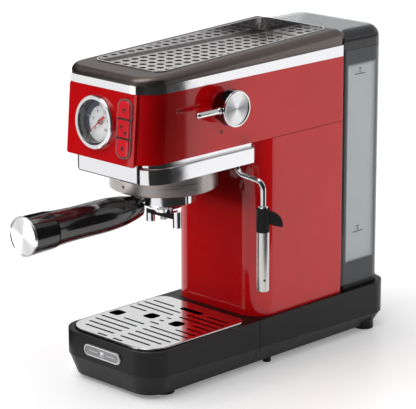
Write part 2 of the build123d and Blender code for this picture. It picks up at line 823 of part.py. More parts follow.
with BuildPart() as shower_screen:
    group_turned([(3.2, 220), (27, 220), (27, 221), (3.2, 221)])
save(shower_screen, "shower_screen")

with BuildPart() as shower_screw:
    group_turned([(0, 218.4), (5, 218.4), (5, 220), (2.1, 220), (2.1, 234), (0, 234)])
save(shower_screw, "shower_screw")

with BuildPart() as boiler:
    group_turned([(0, HEAD_Z + 2.5), (36, HEAD_Z + 2.5), (36, 292), (30, 300), (0, 300)])
save(boiler, "boiler")

# ---------------------------------------------------------------- portafilter

with BuildPart() as filter_bowl:
    group_turned(
        [
            (0, BOWL_Z - 6),
            (20, BOWL_Z - 6),
            (24, BOWL_Z - 3),
            (BOWL_R - 1.5, BOWL_Z),
            (BOWL_R, BOWL_Z + 1.5),
            (BOWL_R, BOWL_TOP),
            (30.2, BOWL_TOP),
            (30.2, BOWL_Z + 2),
            (20, BOWL_Z - 2),
            (0, BOWL_Z - 2),
        ]
    )
    with BuildSketch(level(LUG_Z)):
        with Locations((0, GROUP_Y)):
            Circle(LUG_R)
            Rectangle(2 * LUG_R, 16, mode=Mode.INTERSECT)
            Circle(BOWL_R - 2, mode=Mode.SUBTRACT)
    extrude(amount=4)
    with BuildSketch(level(BOWL_Z - 7)):
        with Locations((0, GROUP_Y)):
            Circle(3)
    extrude(amount=10, mode=Mode.SUBTRACT)
    with BuildSketch(facing(GROUP_Y - BOWL_R + 2)):
        with Locations((0, BOWL_Z + 6)):
            Circle(7)
    extrude(amount=14)
save(filter_bowl, "filter_bowl")

with BuildPart() as filter_basket:
    group_turned(
        [
            (29.2, BOWL_Z + 6),
            (30, BOWL_TOP),
            (33.6, BOWL_TOP),
            (33.6, BOWL_TOP + 0.4),
            (29.2, BOWL_TOP + 0.4),
            (28.2, BOWL_Z + 6.8),
            (0, BOWL_Z + 6.8),
            (0, BOWL_Z + 6),
        ]
    )
save(filter_basket, "filter_basket")

with BuildPart() as spout:
    group_turned(
        [(0, BOWL_Z - 12), (9, BOWL_Z - 12), (15, BOWL_Z - 6), (0, BOWL_Z - 6)]
    )
    with BuildSketch(level(BOWL_Z - 17)):
        with Locations((0, GROUP_Y)):
            SlotOverall(50, 9.8)
    extrude(amount=6)
    with BuildSketch(level(162.5)):
        with Locations((-20.2, GROUP_Y), (20.2, GROUP_Y)):
            Circle(4.9)
    extrude(amount=BOWL_Z - 9 - 162.5)
    with BuildSketch(level(162)):
        with Locations((-20.2, GROUP_Y), (20.2, GROUP_Y)):
            Circle(3.3)
    extrude(amount=14, mode=Mode.SUBTRACT)
    with BuildSketch(level(BOWL_Z - 20)):
        with Locations((0, GROUP_Y)):
            Circle(2.2)
    extrude(amount=20, mode=Mode.SUBTRACT)
save(spout, "spout")

with BuildPart() as spout_screw:
    group_turned(
        [
            (0, BOWL_Z - 21),
            (3.6, BOWL_Z - 21),
            (3.6, BOWL_Z - 17),
            (2.1, BOWL_Z - 17),
            (2.1, BOWL_Z - 6),
            (0, BOWL_Z - 6),
        ]
    )
save(spout_screw, "spout_screw")


def handle_turned(points):
    """Revolves a closed profile of (depth, radius) points round the handle's axis."""
    with BuildSketch(beside(0)) as profile:
        with BuildLine():
            Polyline(*[(y, HANDLE_Z + r) for y, r in points], close=True)
        make_face()
    revolve(profile.sketch, axis=Axis((DATUM_X, DATUM_Y, HANDLE_Z), (0, 1, 0)))


with BuildPart() as handle_grip:
    with BuildSketch(beside(0)):
        with BuildLine():
            Line((52, HANDLE_Z), (52, HANDLE_Z + 11))
            Spline(
                (52, HANDLE_Z + 11),
                (24, HANDLE_Z + 16.4),
                (-14, HANDLE_Z + 17.6),
                (-70, HANDLE_Z + 19.2),
            )
            Line((-70, HANDLE_Z + 19.2), (-70, HANDLE_Z))
            Line((-70, HANDLE_Z), (52, HANDLE_Z))
        make_face()
    revolve(axis=Axis((DATUM_X, DATUM_Y, HANDLE_Z), (0, 1, 0)))
    with BuildSketch(facing(GROUP_Y - BOWL_R + 2)):
        with Locations((0, BOWL_Z + 6)):
            Circle(7)
    extrude(amount=14, mode=Mode.SUBTRACT)
    group_turned([(0, 150), (BOWL_R, 150), (BOWL_R, 230), (0, 230)], Mode.SUBTRACT)
    handle_turned(
        [(-70, 0), (-70, 18.2), (-72, 18.2), (-72, 19.6), (HANDLE_END + 3, 20.2), (HANDLE_END + 3, 0)]
    )
save(handle_grip, "handle_grip")

with BuildPart() as handle_end_cap:
    handle_turned(
        [
            (HANDLE_END + 3, 0),
            (HANDLE_END + 3, 20.5),
            (HANDLE_END + 0.8, 20.5),
            (HANDLE_END, 19.7),
            (HANDLE_END, 18.8),
            (HANDLE_END + 1, 18.6),
            (HANDLE_END + 1, 0),
        ]
    )
save(handle_end_cap, "handle_end_cap")

# ---------------------------------------------------------------- water tank

with BuildPart() as tank_body:
    with BuildSketch(level(TANK_Z)):
        plan(TANK_HALF, TANK_FRONT, TANK_BACK, 4, TANK_R)
    extrude(amount=TANK_TOP - TANK_Z)
    with BuildSketch(level(TANK_Z + TANK_WALL)):
        plan(
            TANK_HALF - TANK_WALL,
            TANK_FRONT + TANK_WALL,
            TANK_BACK - TANK_WALL,
            2,
            TANK_R - TANK_WALL,
        )
    extrude(amount=TANK_TOP, mode=Mode.SUBTRACT)
    with BuildSketch(level(TANK_Z - 1)):
        with Locations((0, 335)):
            Circle(6)
    extrude(amount=10, mode=Mode.SUBTRACT)
save(tank_body, "tank_body")

with BuildPart() as lid_hollow:
    with BuildSketch(level(TANK_TOP - 1)):
        plan(TANK_HALF - LID_WALL, TANK_FRONT + LID_WALL, TANK_BACK - LID_WALL, 2, TANK_R - LID_WALL)
    extrude(amount=LID_TOP - TANK_TOP + 1 - LID_WALL)
    fillet(lid_hollow.faces().sort_by(Axis.Z)[-1].edges().sort_by(Axis.Y)[3:], LID_R - LID_WALL)

with BuildPart() as tank_lid:
    with BuildSketch(level(TANK_TOP + 0.4)):
        plan(TANK_HALF, TANK_FRONT - 0.4, TANK_BACK, 0.5, TANK_R)
    extrude(amount=LID_TOP - TANK_TOP - 0.4)
    fillet(tank_lid.faces().sort_by(Axis.Z)[-1].edges().sort_by(Axis.Y)[3:], LID_R)
    add(lid_hollow, mode=Mode.SUBTRACT)
save(tank_lid, "tank_lid")

with BuildPart() as tank_valve:
    with BuildSketch(level(TANK_Z - 3)):
        with Locations((0, 335)):
            Circle(5.9)
    extrude(amount=3)
    with BuildSketch(level(TANK_Z)):
        with Locations((0, 335)):
            Circle(6)
    extrude(amount=TANK_WALL)
    with BuildSketch(level(TANK_Z + TANK_WALL)):
        with Locations((0, 335)):
            Circle(14)
    extrude(amount=22)
    with BuildSketch(level(TANK_Z - 4)):
        with Locations((0, 335)):
            Circle(3)
    extrude(amount=20, mode=Mode.SUBTRACT)
save(tank_valve, "tank_valve")

with BuildPart() as tank_seat:
    with BuildSketch(level(RIM_Z)):
        plan(TANK_HALF + 0.5, TANK_FRONT + 2, TANK_BACK + 0.5, 4, TANK_R)
        with Locations((0, 335)):
            Circle(6.3, mode=Mode.SUBTRACT)
    extrude(amount=TANK_Z - RIM_Z)
    with BuildSketch(level(RIM_Z - 12)):
        with Locations((0, 335)):
            Circle(8.9)
            Circle(3, mode=Mode.SUBTRACT)
    extrude(amount=14)
save(tank_seat, "tank_seat")

# ---------------------------------------------------------------- water and power inside

PUMP_Y = 232.0
PUMP_Z = 110.0

with BuildPart() as pump:
    with BuildSketch(level(PUMP_Z)):
        with Locations((0, PUMP_Y)):
            Circle(17)
    extrude(amount=88)
    with BuildSketch(level(PUMP_Z + 22)):
        with Locations((0, PUMP_Y)):
            Rectangle(42, 34)
    extrude(amount=44)
save(pump, "pump")

with BuildPart() as pump_mounts:
    for mount_z in (PUMP_Z + 4, PUMP_Z + 74):
        with BuildSketch(level(mount_z)):
            with Locations((0, PUMP_Y)):
                Circle(24)
                Circle(17, mode=Mode.SUBTRACT)
        extrude(amount=8)
save(pump_mounts, "pump_mounts")

with BuildPart() as inner_frame:
    with BuildSketch(level(HEAD_Z + 0.5)):
        plan(BODY_HALF - BODY_WALL - 0.3, 14.3, BODY_BACK - BODY_WALL - 0.3, BODY_R - 8, 2)
        with Locations((0, 240)):
            Rectangle(80, 70, mode=Mode.SUBTRACT)
        with Locations(WAND_ENTRY):
            Circle(9, mode=Mode.SUBTRACT)
        with Locations((0, GROUP_Y)):
            Circle(8, mode=Mode.SUBTRACT)
    extrude(amount=2)
    with BuildSketch(beside(-50)):
        with Locations((PUMP_Y, (RIM_Z + HEAD_Z + 0.5) / 2)):
            Rectangle(56, HEAD_Z + 0.5 - RIM_Z)
    extrude(amount=2)
    with BuildSketch(level(RIM_Z)):
        with Locations((0, PUMP_Y)):
            Rectangle(100, 56)
            Circle(10, mode=Mode.SUBTRACT)
    extrude(amount=2)
    for arm_z in (PUMP_Z + 4, PUMP_Z + 74):
        with BuildSketch(level(arm_z)):
            with Locations((-24, PUMP_Y)):
                Rectangle(50, 14)
            with Locations((0, PUMP_Y)):
                Circle(24, mode=Mode.SUBTRACT)
        extrude(amount=8)
save(inner_frame, "inner_frame")


def tube(points, bend, outer, plane):
    """Round tube along straight runs joined by bends, started on the given plane."""
    with BuildLine(level(0)) as route:
        FilletPolyline(*points, radius=bend)
    with BuildSketch(plane) as section:
        with Locations(points[0][:2]):
            Circle(outer)
    sweep(section.sketch, path=route.wire())


with BuildPart() as inlet_hose:
    tube(
        [(0, 335, RIM_Z - 12), (0, 335, 22), (0, PUMP_Y, 22), (0, PUMP_Y, PUMP_Z)],
        14,
        4,
        level(RIM_Z - 12),
    )
save(inlet_hose, "inlet_hose")

with BuildPart() as hot_pipes:
    tube(
        [(0, PUMP_Y, PUMP_Z + 88), (0, PUMP_Y, 280), (0, GROUP_Y + 36.2, 280)],
        14,
        2.5,
        level(PUMP_Z + 88),
    )
    tube(
        [(44, 116, KNOB_Z - 13), (44, 116, 264), (52, 147, 264), (52, 147, 244)],
        7,
        2.5,
        level(KNOB_Z - 13),
    )
save(hot_pipes, "hot_pipes")

with BuildPart() as control_board:
    with BuildSketch(facing(290)):
        with Locations((0, 286)):
            Rectangle(100, 50)
    extrude(amount=1.6)
    with BuildSketch(facing(288.4)):
        with Locations((-30, 290), (4, 282), (32, 292)):
            Rectangle(18, 22)
    extrude(amount=12)
save(control_board, "control_board")

with BuildPart() as cord_gland:
    with BuildSketch(facing(BASE_BACK + 2.5)):
        with Locations((-36, 36)):
            Circle(8.6)
    extrude(amount=2.5)
    with BuildSketch(facing(BASE_BACK)):
        with Locations((-36, 36)):
            Circle(6.9)
    extrude(amount=14)
    with BuildSketch(facing(BASE_BACK + 3)):
        with Locations((-36, 36)):
            Circle(3.6)
    extrude(amount=20, mode=Mode.SUBTRACT)
save(cord_gland, "cord_gland")
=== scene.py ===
"""Looks of the slim espresso machine: materials, the gauge's slim needle, printed marks and light.

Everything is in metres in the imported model's frame. Places come from the boxes of the CAD nodes, and
the helper at() turns millimetres from the body's middle, the fascia's foot and the ground into them.
"""

import bpy
import bmesh
import math
from mathutils import Matrix, Vector


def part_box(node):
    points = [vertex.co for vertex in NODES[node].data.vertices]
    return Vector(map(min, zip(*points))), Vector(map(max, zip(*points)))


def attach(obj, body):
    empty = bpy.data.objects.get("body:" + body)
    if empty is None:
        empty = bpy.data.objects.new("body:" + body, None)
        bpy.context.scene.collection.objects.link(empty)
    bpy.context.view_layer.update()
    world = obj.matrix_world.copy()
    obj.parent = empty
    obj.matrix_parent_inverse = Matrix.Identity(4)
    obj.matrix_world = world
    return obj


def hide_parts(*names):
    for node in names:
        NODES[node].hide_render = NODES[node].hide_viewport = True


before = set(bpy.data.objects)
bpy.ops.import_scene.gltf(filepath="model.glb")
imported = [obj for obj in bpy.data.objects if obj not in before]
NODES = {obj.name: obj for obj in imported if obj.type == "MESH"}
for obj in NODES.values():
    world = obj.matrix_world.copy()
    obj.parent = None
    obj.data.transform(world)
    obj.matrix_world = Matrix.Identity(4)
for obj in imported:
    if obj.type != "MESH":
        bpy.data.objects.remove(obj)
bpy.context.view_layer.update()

MM = 0.001

# ---------------------------------------------------------------- places


def low(node):
    """Lowest corner of a CAD node."""
    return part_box(node)[0]


def high(node):
    """Highest corner of a CAD node."""
    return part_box(node)[1]


def middle(node):
    """Middle of a CAD node's box."""
    return [(a + b) / 2 for a, b in zip(*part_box(node))]


BODY_X = middle("column_shell")[0]
FASCIA_Y = low("front_fascia")[1]
FASCIA_LEAN = math.radians(4.8)


def at(x, y, z):
    """Point from millimetres right of the body's middle, behind the fascia's foot and above ground."""
    return Vector((BODY_X + x * MM, FASCIA_Y + y * MM, z * MM))


# ---------------------------------------------------------------- materials


class Paint:
    """A material being built: its node tree, its shader, and short calls for the usual steps."""

    def __init__(self, name, color, metallic=0.0, roughness=0.4, **more):
        self.material = bpy.data.materials.new(name)
        self.material.use_nodes = True
        self.tree = self.material.node_tree
        self.shader = self.tree.nodes["Principled BSDF"]
        self.set("Base Color", (*color, 1.0))
        self.set("Metallic", metallic)
        self.set("Roughness", roughness)
        for socket, value in more.items():
            self.set(socket.replace("_", " ").title().replace("Ior", "IOR"), value)
        self.color = color
        self.coordinates = self.node("ShaderNodeTexCoord").outputs["Object"]
        self.height = None

    def set(self, socket, value):
        self.shader.inputs[socket].default_value = value

    def node(self, kind, **values):
        made = self.tree.nodes.new(kind)
        for name, value in values.items():
            setattr(made, name, value)
        return made

    def link(self, source, target):
        self.tree.links.new(source, target)

    def noise(self, scale, stretch=(1, 1, 1), detail=3.0):
        """Fine noise at a scale per metre, stretched along the axes where that is below 1."""
        mapping = self.node("ShaderNodeMapping")
        mapping.inputs["Scale"].default_value = stretch
        self.link(self.coordinates, mapping.inputs["Vector"])
        noise = self.node("ShaderNodeTexNoise")
        noise.inputs["Scale"].default_value = scale
        noise.inputs["Detail"].default_value = detail
        self.link(mapping.outputs["Vector"], noise.inputs["Vector"])
        return noise.outputs["Fac"]

    def ramp(self, source, stops):
        """Colour ramp over (position, colour) stops."""
        ramp = self.node("ShaderNodeValToRGB")
        elements = ramp.color_ramp.elements
        while len(elements) < len(stops):
            elements.new(0.5)
        for element, (position, color) in zip(elements, stops):
            element.position = position
            element.color = (*color, 1.0)
        self.link(source, ramp.inputs["Fac"])
        return ramp.outputs["Color"]

    def span(self, source, start, end):
        """Maps a value from 0.3 to 0.7 onto start to end."""
        remap = self.node("ShaderNodeMapRange")
        remap.inputs["From Min"].default_value = 0.3
        remap.inputs["From Max"].default_value = 0.7
        remap.inputs["To Min"].default_value = start
        remap.inputs["To Max"].default_value = end
        self.link(source, remap.inputs["Value"])
        return remap.outputs["Result"]

    def vary_roughness(self, source, start, end):
        self.link(self.span(source, start, end), self.shader.inputs["Roughness"])
        return self

    def vary_color(self, source, darker, lighter):
        """Colour from darker to lighter shares of the base colour."""
        dark = [c * darker for c in self.color]
        light = [min(1.0, c * lighter) for c in self.color]
        self.link(self.ramp(source, [(0.3, dark), (0.7, light)]), self.shader.inputs["Base Color"])
        return self

    def bump(self, source, depth, strength=1.0):
        """Relief of a given depth in metres, laid over any earlier one."""
        bump = self.node("ShaderNodeBump")
        bump.inputs["Strength"].default_value = strength
        bump.inputs["Distance"].default_value = depth
        self.link(source, bump.inputs["Height"])
        if self.height:
            self.link(self.height, bump.inputs["Normal"])
        self.height = bump.outputs["Normal"]
        self.link(self.height, self.shader.inputs["Normal"])
        return self


def lacquer(name, color, roughness=0.2):
    """Gloss lacquer on steel: a clear coat over colour, with a faint orange peel."""
    paint = Paint(name, color, roughness=roughness, coat_weight=0.8, coat_roughness=0.04)
    paint.set("Specular IOR Level", 0.1)
    paint.vary_color(paint.noise(9), 0.92, 1.06)
    paint.vary_roughness(paint.noise(60), roughness * 0.8, roughness * 1.25)
    paint.bump(paint.noise(420, detail=1.0), 0.00003, 0.25)
    return paint.material


def plated(name, color=(0.80, 0.80, 0.82), roughness=0.07):
    """Mirror plating with faint wiping marks."""
    paint = Paint(name, color, metallic=1.0, roughness=roughness)
    paint.vary_roughness(paint.noise(45, detail=4.0), roughness * 0.6, roughness * 1.6)
    paint.bump(paint.noise(70, detail=1.0), 0.00002, 0.15)
    return paint.material


def brushed(name, color, along, roughness=0.28, scale=900.0, round_axis=False):
    """Steel brushed along one axis, or round it: streaks in roughness, colour and relief."""
    paint = Paint(name, color, metallic=1.0, roughness=roughness)
    stretch = [0.02 if (axis == along) != round_axis else 1.0 for axis in range(3)]
    streaks = paint.noise(scale, stretch, 4.0)
    paint.vary_color(streaks, 0.9, 1.06)
    paint.vary_roughness(streaks, roughness * 0.75, roughness * 1.3)
    paint.bump(streaks, 0.00002, 0.35)
    return paint.material


def moulded(name, color, roughness=0.45, grain=1600.0, depth=0.00004, coat=0.0, shine=0.5):
    """Moulded plastic with a fine spark-eroded grain."""
    paint = Paint(name, color, roughness=roughness, coat_weight=coat, coat_roughness=0.08)
    paint.set("Specular IOR Level", shine)
    paint.vary_color(paint.noise(25), 0.85, 1.15)
    paint.vary_roughness(paint.noise(90), roughness * 0.85, roughness * 1.2)
    paint.bump(paint.noise(grain, detail=2.0), depth, 0.5)
    return paint.material


def turned(name, color, center, axis, phase, soft):
    """Metal turned on a lathe: fine rings round an axis, and a painted fan of highlights and dark
    reflections across them, put into the base colour.

    phase turns the fan, in degrees, and soft is how far its edges fade.
    """
    paint = Paint(name, color, metallic=1.0, roughness=0.24)
    mapping = paint.node("ShaderNodeMapping")
    mapping.inputs["Location"].default_value = [-c for c in center]
    paint.link(paint.coordinates, mapping.inputs["Vector"])
    split = paint.node("ShaderNodeSeparateXYZ")
    paint.link(mapping.outputs["Vector"], split.inputs["Vector"])
    across = [output for i, output in enumerate(split.outputs) if i != axis]
    angle = paint.node("ShaderNodeMath", operation="ARCTAN2")
    paint.link(across[0], angle.inputs[0])
    paint.link(across[1], angle.inputs[1])
    fan = paint.node("ShaderNodeMath", operation="MULTIPLY_ADD")
    fan.inputs[1].default_value = 2.0
    fan.inputs[2].default_value = math.radians(phase)
    paint.link(angle.outputs["Value"], fan.inputs[0])
    wave = paint.node("ShaderNodeMath", operation="SINE")
    paint.link(fan.outputs["Value"], wave.inputs[0])
    lift = paint.node("ShaderNodeMath", operation="MULTIPLY_ADD")
    lift.inputs[1].default_value = 0.5
    lift.inputs[2].default_value = 0.5
    paint.link(wave.outputs["Value"], lift.inputs[0])
    # Painted reflection: round the axis the base colour swings between full brightness and about a third
    # of it, as highlights and dark reflections on the turned face.
    shares = [(0.0, 0.34), (0.45 - soft, 0.42), (0.45 + soft, 1.0)]
    painted_sheen_fans = paint.ramp(
        lift.outputs["Value"], [(where, [c * share for c in color]) for where, share in shares]
    )
    paint.link(painted_sheen_fans, paint.shader.inputs["Base Color"])
    combine = paint.node("ShaderNodeCombineXYZ")
    paint.link(across[0], combine.inputs[0])
    paint.link(across[1], combine.inputs[1])
    length = paint.node("ShaderNodeVectorMath", operation="LENGTH")
    paint.link(combine.outputs["Vector"], length.inputs[0])
    rings = paint.node("ShaderNodeMath", operation="MULTIPLY")
    rings.inputs[1].default_value = 14000.0
    paint.link(length.outputs["Value"], rings.inputs[0])
    groove = paint.node("ShaderNodeMath", operation="SINE")
    paint.link(rings.outputs["Value"], groove.inputs[0])
    paint.bump(groove.outputs["Value"], 0.00001, 0.3)
    return paint.material


def plated_neck(name, start, end):
    """Mirror plating with a painted dark reflection and shade on the neck, from start to end along X,
    and plain plating on the rim.
    """
    paint = Paint(name, (0.80, 0.80, 0.82), metallic=1.0, roughness=0.08)
    split = paint.node("ShaderNodeSeparateXYZ")
    paint.link(paint.coordinates, split.inputs["Vector"])
    reach = paint.node("ShaderNodeMapRange")
    reach.inputs["From Min"].default_value = start
    reach.inputs["From Max"].default_value = end
    paint.link(split.outputs["X"], reach.inputs["Value"])
    # Painted reflection: the neck's near-black colour stands in for the dark panel and the shade that it
    # mirrors.
    dark, light = (0.10, 0.09, 0.09), (0.82, 0.82, 0.84)
    stops = [(0.0, light), (0.04, light), (0.07, dark), (0.86, dark), (0.93, light)]
    paint.link(paint.ramp(reach.outputs["Result"], stops), paint.shader.inputs["Base Color"])
    paint.vary_roughness(paint.noise(60), 0.06, 0.14)
    paint.bump(paint.noise(90, detail=1.0), 0.00002, 0.15)
    return paint.material


def smoked(name, color, alpha, roughness=0.08):
    """Clear plastic, tinted, with a little haze and soft streaks of the mould."""
    paint = Paint(name, color, roughness=roughness, alpha=alpha, coat_weight=0.5, coat_roughness=0.03)
    paint.vary_color(paint.noise(14, (1, 1, 0.25)), 0.85, 1.12)
    paint.vary_roughness(paint.noise(35), roughness * 0.7, roughness * 1.8)
    return paint.material


def smoked_edges(name, pale, dark, clear, shade_zones):
    """Smoked plastic with painted shade: darker and less clear in bands near its edges, where the thick
    or doubled walls show shade and dark reflections.

    Each zone is an axis and two places along it, in metres: the plastic is pale before the first and
    dark after the second. clear is the alpha of the pale part, and the dark part has most of the rest.
    """
    paint = Paint(name, pale, roughness=0.07, coat_weight=0.15, coat_roughness=0.03)
    paint.set("Specular IOR Level", 0.35)
    split = paint.node("ShaderNodeSeparateXYZ")
    paint.link(paint.coordinates, split.inputs["Vector"])
    # depth is the share of painted edge shade: 0 on the clear plastic, 1 in the darkest bands.
    depth = None
    for axis, start, end in shade_zones:
        ramp = paint.node("ShaderNodeMapRange", interpolation_type="SMOOTHSTEP")
        ramp.inputs["From Min"].default_value = start
        ramp.inputs["From Max"].default_value = end
        paint.link(split.outputs[axis], ramp.inputs["Value"])
        if depth is None:
            depth = ramp.outputs["Result"]
            continue
        larger = paint.node("ShaderNodeMath", operation="MAXIMUM")
        paint.link(depth, larger.inputs[0])
        paint.link(ramp.outputs["Result"], larger.inputs[1])
        depth = larger.outputs["Value"]
    paint.link(paint.ramp(depth, [(0.0, pale), (1.0, dark)]), paint.shader.inputs["Base Color"])
    alpha = paint.node("ShaderNodeMapRange")
    alpha.inputs["To Min"].default_value = clear
    alpha.inputs["To Max"].default_value = 0.86
    paint.link(depth, alpha.inputs["Value"])
    paint.link(alpha.outputs["Result"], paint.shader.inputs["Alpha"])
    paint.vary_roughness(paint.noise(35), 0.05, 0.12)
    return paint.material


def dress(material, *names):
    """Gives CAD nodes a material."""
    for name in names:
        mesh = NODES[name].data
        mesh.materials.clear()
        mesh.materials.append(material)


RED = lacquer("red_lacquer", (0.55, 0.001, 0.003))
KEY_RED = lacquer("key_red", (0.72, 0.012, 0.022), 0.25)
CHROME = plated("chrome")
BEZEL = plated("bezel_chrome", (0.66, 0.66, 0.67), 0.16)
CAP = brushed("cap_satin", (0.18, 0.15, 0.14), 1, 0.38)
BLACK = moulded("satin_black", (0.007, 0.006, 0.006), 0.34, shine=0.24)
GLOSS_BLACK = moulded("gloss_black", (0.006, 0.005, 0.006), 0.12, depth=0.00001, coat=0.6)
RUBBER = moulded("rubber", (0.008, 0.008, 0.008), 0.55, 900.0, 0.00008, shine=0.22)
SEAL = moulded("seal", (0.42, 0.07, 0.04), 0.55, 700.0)
FRAME_GREY = moulded("frame_grey", (0.19, 0.12, 0.13), 0.35)
STEEL = brushed("steel_around", (0.60, 0.585, 0.57), 2, 0.3)
RING_STEEL = brushed("ring_steel", (0.47, 0.43, 0.41), 2, 0.33, round_axis=True)
SLEEVE_STEEL = brushed("sleeve_steel", (0.62, 0.60, 0.58), 2, 0.19)
PLATE_STEEL = brushed("plate_steel", (0.90, 0.90, 0.91), 1, 0.12)
WARMER_STEEL = brushed("warmer_steel", (0.86, 0.845, 0.83), 1, 0.26)
ZINC = brushed("zinc", (0.48, 0.49, 0.50), 0, 0.4)
CAST = moulded("cast_aluminium", (0.45, 0.45, 0.46), 0.5, 500.0, 0.0001)
BRASS = brushed("brass", (0.62, 0.42, 0.16), 0, 0.3)
BOARD = moulded("board", (0.02, 0.15, 0.06), 0.4)
HOSE = moulded("hose", (0.55, 0.56, 0.54), 0.35)
NEEDLE = lacquer("needle_red", (0.72, 0.012, 0.01), 0.3)
DIAL = moulded("dial", (0.93, 0.93, 0.96), 0.5, 2200.0, 0.00001)
LENS = smoked("lens", (0.9, 0.93, 0.95), 0.03, 0.02)
tank_low, tank_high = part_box("tank_body")
lid_low, lid_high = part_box("tank_lid")
# Painted shade: the tank and its lid get dark, denser bands at their edges; the tank along its top,
# bottom, back and front, the lid along its front, right side and back.
SMOKE_PALE, SMOKE_PAINTED_SHADE = (0.78, 0.85, 0.87), (0.055, 0.058, 0.065)
TANK = smoked_edges(
    "tank_smoke", SMOKE_PALE, SMOKE_PAINTED_SHADE, 0.45,
    [
        ("Z", tank_high[2] - 21 * MM, tank_high[2] - 15 * MM),
        ("Z", tank_low[2] + 29 * MM, tank_low[2] + 25 * MM),
        ("Y", tank_high[1] - 23 * MM, tank_high[1] - 15 * MM),
        ("Y", tank_low[1] + 7.5 * MM, tank_low[1] + 6.5 * MM),
    ],
)
LID = smoked_edges(
    "lid_smoke", (0.50, 0.54, 0.54), (0.03, 0.03, 0.033), 0.45,
    [
        ("Y", lid_low[1] + 3.2 * MM, lid_low[1] + 2.2 * MM),
        ("X", lid_high[0] - 13 * MM, lid_high[0] - 8 * MM),
        ("Y", lid_high[1] - 9 * MM, lid_high[1] - 4 * MM),
    ],
)
INK = moulded("ink", (0.03, 0.03, 0.035), 0.5)
BLUE_INK = moulded("blue_ink", (0.055, 0.06, 0.13), 0.5)
KEY_INK = moulded("key_ink", (0.06, 0.022, 0.025), 0.45)
BADGE = brushed("badge_metal", (0.30, 0.30, 0.31), 0, 0.35)
SILVER = brushed("silver", (0.75, 0.75, 0.76), 0, 0.25)
# Painted reflections: the handle's end cap and the knob's disc carry the turned fans of highlight and
# dark.
CAP_DISC = turned("handle_disc", (0.98, 0.98, 0.98), middle("handle_end_cap"), 1, -30, 0.04)
KNOB_DISC = turned("knob_disc", (0.95, 0.95, 0.96), middle("knob_disc"), 0, 90, 0.4)
# Painted reflection and shade: the knob's neck is painted near black.
KNOB_CHROME = plated_neck("knob_chrome", low("steam_knob")[0], high("steam_knob")[0])

dress(RED, "column_shell", "head_shell", "front_fascia")
dress(KEY_RED, "button_one_cup", "button_two_cups", "button_steam")
dress(CHROME, "chrome_band", "cup_rail", "group_housing", "housing_front_plate")
dress(BEZEL, "gauge_bezel")
dress(KNOB_CHROME, "steam_knob")
dress(CHROME, "steam_lever", "wand_pipe", "wand_collar", "filter_bowl", "spout")
dress(CAP, "top_cap")
dress(BLACK, "rear_base", "base_cover", "drip_tray", "tank_seat", "tank_valve")
dress(GLOSS_BLACK, "gauge_case", "handle_grip")
dress(RUBBER, "base_feet", "tray_feet", "pump_mounts", "wand_grip", "cord_gland")
dress(SEAL, "group_gasket")
dress(FRAME_GREY, "button_frame")
dress(STEEL, "filter_basket", "shower_screen", "spout_screw", "wand_nozzle")
dress(RING_STEEL, "group_ring")
dress(SLEEVE_STEEL, "frother_sleeve")
dress(PLATE_STEEL, "drip_grid")
dress(WARMER_STEEL, "cup_warmer_plate")
dress(ZINC, "base_screws", "shower_screw", "pump", "inner_frame")
dress(CAST, "group_collar", "boiler")
dress(BRASS, "steam_valve", "knob_shaft")
dress(BOARD, "button_board", "control_board")
dress(HOSE, "inlet_hose", "hot_pipes")
dress(NEEDLE, "gauge_needle")
dress(DIAL, "gauge_dial")
dress(LENS, "gauge_lens")
dress(TANK, "tank_body")
dress(LID, "tank_lid")
dress(BADGE, "badge")
dress(CAP_DISC, "handle_end_cap")
dress(KNOB_DISC, "knob_disc")

# ---------------------------------------------------------------- meshes


def piece(name, body, mesh, material):
    """A finished mesh as an object that rides on a body."""
    made = bpy.data.objects.new(name, mesh)
    bpy.context.scene.collection.objects.link(made)
    mesh.materials.append(material)
    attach(made, body)
    return made


def filled(name, outlines, thick, place):
    """Flat shape with holes, given as closed outlines in its own plane, thick along +Z, then placed."""
    mesh = bmesh.new()
    for outline in outlines:
        corners = [mesh.verts.new((x, y, 0)) for x, y in outline]
        for a, b in zip(corners, corners[1:] + corners[:1]):
            mesh.edges.new((a, b))
    bmesh.ops.triangle_fill(mesh, edges=mesh.edges[:], use_beauty=False, use_dissolve=False)
    bmesh.ops.recalc_face_normals(mesh, faces=mesh.faces[:])
    if sum(face.normal.z for face in mesh.faces) < 0:
        bmesh.ops.reverse_faces(mesh, faces=mesh.faces[:])
    lifted = bmesh.ops.extrude_face_region(mesh, geom=mesh.faces[:])
    bmesh.ops.translate(
        mesh, vec=(0, 0, thick), verts=[v for v in lifted["geom"] if isinstance(v, bmesh.types.BMVert)]
    )
    bmesh.ops.recalc_face_normals(mesh, faces=mesh.faces[:])
    mesh.transform(place)
    data = bpy.data.meshes.new(name)
    mesh.to_mesh(data)
    mesh.free()
    return data


def disc(radius, x=0.0, y=0.0, sides=24):
    """Outline of a circle."""
    turns = [2 * math.pi * i / sides for i in range(sides)]
    return [(x + radius * math.cos(t), y + radius * math.sin(t)) for t in turns]


def sector(inner, outer, start, end, steps=16):
    """Outline of a band of a ring, between two angles in degrees from +X."""
    angles = [math.radians(start + (end - start) * i / steps) for i in range(steps + 1)]
    out = [(outer * math.cos(t), outer * math.sin(t)) for t in angles]
    back = [(inner * math.cos(t), inner * math.sin(t)) for t in reversed(angles)]
    return out + back


def rounded(width, height, radius, x=0.0, y=0.0, steps=6):
    """Outline of a rectangle with round corners."""
    points = []
    for turn, (sx, sy) in enumerate(((1, 1), (-1, 1), (-1, -1), (1, -1))):
        for i in range(steps + 1):
            angle = math.pi / 2 * (turn + i / steps)
            points.append(
                (
                    x + sx * (width / 2 - radius) + radius * math.cos(angle),
                    y + sy * (height / 2 - radius) + radius * math.sin(angle),
                )
            )
    return points


def scaled(outline, factor=MM):
    return [(x * factor, y * factor) for x, y in outline]


